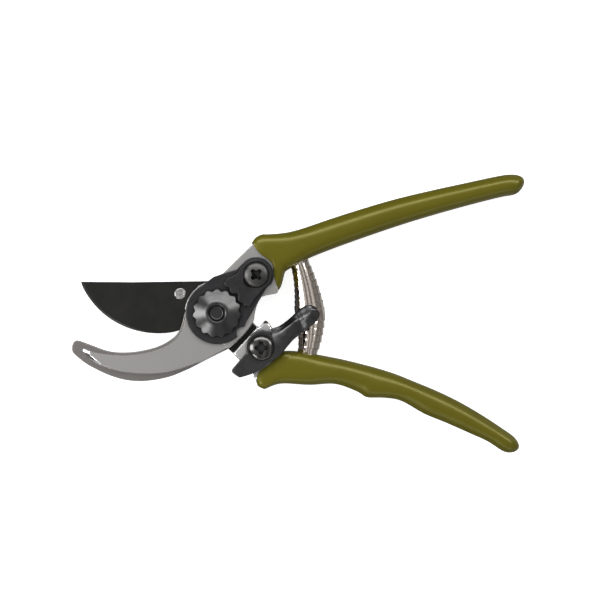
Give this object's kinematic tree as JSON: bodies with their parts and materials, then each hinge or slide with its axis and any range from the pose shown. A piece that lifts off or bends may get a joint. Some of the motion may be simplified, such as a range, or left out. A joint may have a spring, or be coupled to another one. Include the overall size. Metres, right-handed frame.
{
  "type": "bypass pruner",
  "caption": "Hand pruner with a curved bypass blade, a silver hook jaw, dipped olive grips, a volute spring and a thumb catch, shown open.",
  "frame": {"origin": "on the pivot bolt's axis, at the back face of the bolt's head, which is also the level the grips rest on", "axes": "+X from the jaws to the grips, +Y across the tool towards the upper grip, +Z along the pivot bolt towards the nut"},
  "size_m": [0.2038, 0.1256, 0.026],
  "materials": {
    "aluminium": "satin, blasted",
    "grip_vinyl": "glossy dipped vinyl, olive",
    "black_steel": "satin black",
    "blade_steel": "satin black non-stick coating",
    "dark_screw": "semi-gloss black",
    "catch_black": "semi-gloss black",
    "steel": "brushed",
    "nickel": "bright nickel plate",
    "bronze": "plain",
    "buffer_rubber": "matte"
  },
  "bodies": {
    "hook_side": {"hook_body": "aluminium", "upper_grip": "grip_vinyl", "pivot_bolt": "dark_screw", "toothed_nut": "black_steel", "cover_plate": "black_steel", "locking_segment": "black_steel", "segment_screw": "dark_screw", "segment_washer": "steel", "bolt_washer": "steel", "spring": "nickel"},
    "blade_side": {"blade": "blade_steel", "blade_rivet": "steel", "lower_handle": "aluminium", "lower_grip": "grip_vinyl", "stop_buffer": "buffer_rubber", "pivot_bushing": "bronze", "catch_screw": "dark_screw", "catch_washer": "steel"},
    "catch": {"thumb_catch": "catch_black"}
  },
  "joints": [
    {"name": "jaw_pivot", "type": "hinge", "parent": "hook_side", "child": "blade_side", "pos_m": [0, 0, 0], "axis": [0, 0, 1], "range_deg": [0, 27], "stiffness_Nm_per_rad": 1.7, "springref_deg": -11.46, "deforming": ["spring"]},
    {"name": "catch_pivot", "type": "hinge", "parent": "blade_side", "child": "catch", "pos_m": [0.0199, -0.0155, 0], "axis": [0, 0, -1], "range_deg": [0, 52]}
  ]
}
